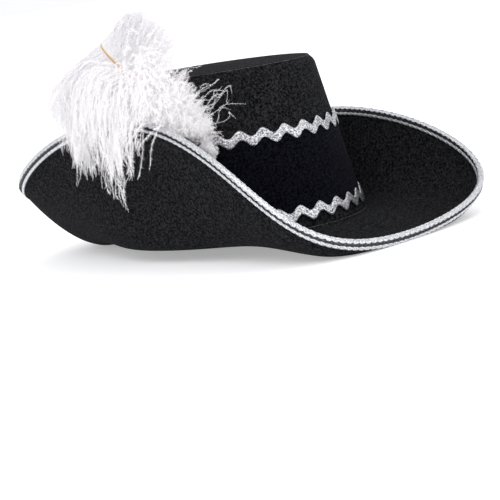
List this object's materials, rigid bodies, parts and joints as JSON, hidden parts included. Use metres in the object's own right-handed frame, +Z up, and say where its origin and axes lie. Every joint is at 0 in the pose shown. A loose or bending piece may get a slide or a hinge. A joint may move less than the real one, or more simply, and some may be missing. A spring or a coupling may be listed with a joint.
{
  "type": "pirate hat",
  "caption": "Wide-brimmed felt costume hat with turned-up sides, silver edge braid, velvet band between rickracks, and an ostrich plume that sways and pulls out.",
  "frame": {"origin": "on the plane that the hat rests on, under the centre of the head opening", "axes": "+Z up, -Y to the front of the hat, -X to the wearer's right, where the plume stands"},
  "size_m": [0.2463, 0.369, 0.1897],
  "materials": {
    "felt": "pressed black wool felt",
    "velvet": "black velvet ribbon",
    "silver_braid": "metallic silver braid",
    "sweatband_tape": "black grosgrain tape",
    "thread": "black sewing thread",
    "wire": "steel millinery wire",
    "quill": "horn-like feather shaft",
    "feather": "white ostrich barbs"
  },
  "bodies": {
    "hat": {"crown": "felt", "brim": "felt", "brim_wire": "wire", "wire_joiner": "wire", "edge_braid": "silver_braid", "braid_stitching": "thread", "hat_band": "velvet", "upper_rickrack": "silver_braid", "lower_rickrack": "silver_braid", "sweatband": "sweatband_tape", "sweatband_stitching": "thread", "quill_tacks": "thread"},
    "quill_stem": {"quill": "quill"},
    "plume": {"plume_shaft": "quill", "plume_vane": "feather"}
  },
  "joints": [
    {"name": "quill_slide", "type": "slide", "parent": "hat", "child": "quill_stem", "axis": [-0.0701, 0.3004, 0.9512], "range_m": [0, 0.05]},
    {"name": "plume_sway", "type": "hinge", "parent": "quill_stem", "child": "plume", "pos_m": [-0.0695, -0.0495, 0.084], "axis": [-0.6398, 0.4818, -0.5988], "range_deg": [-12, 4], "stiffness_Nm_per_rad": 0.02}
  ]
}
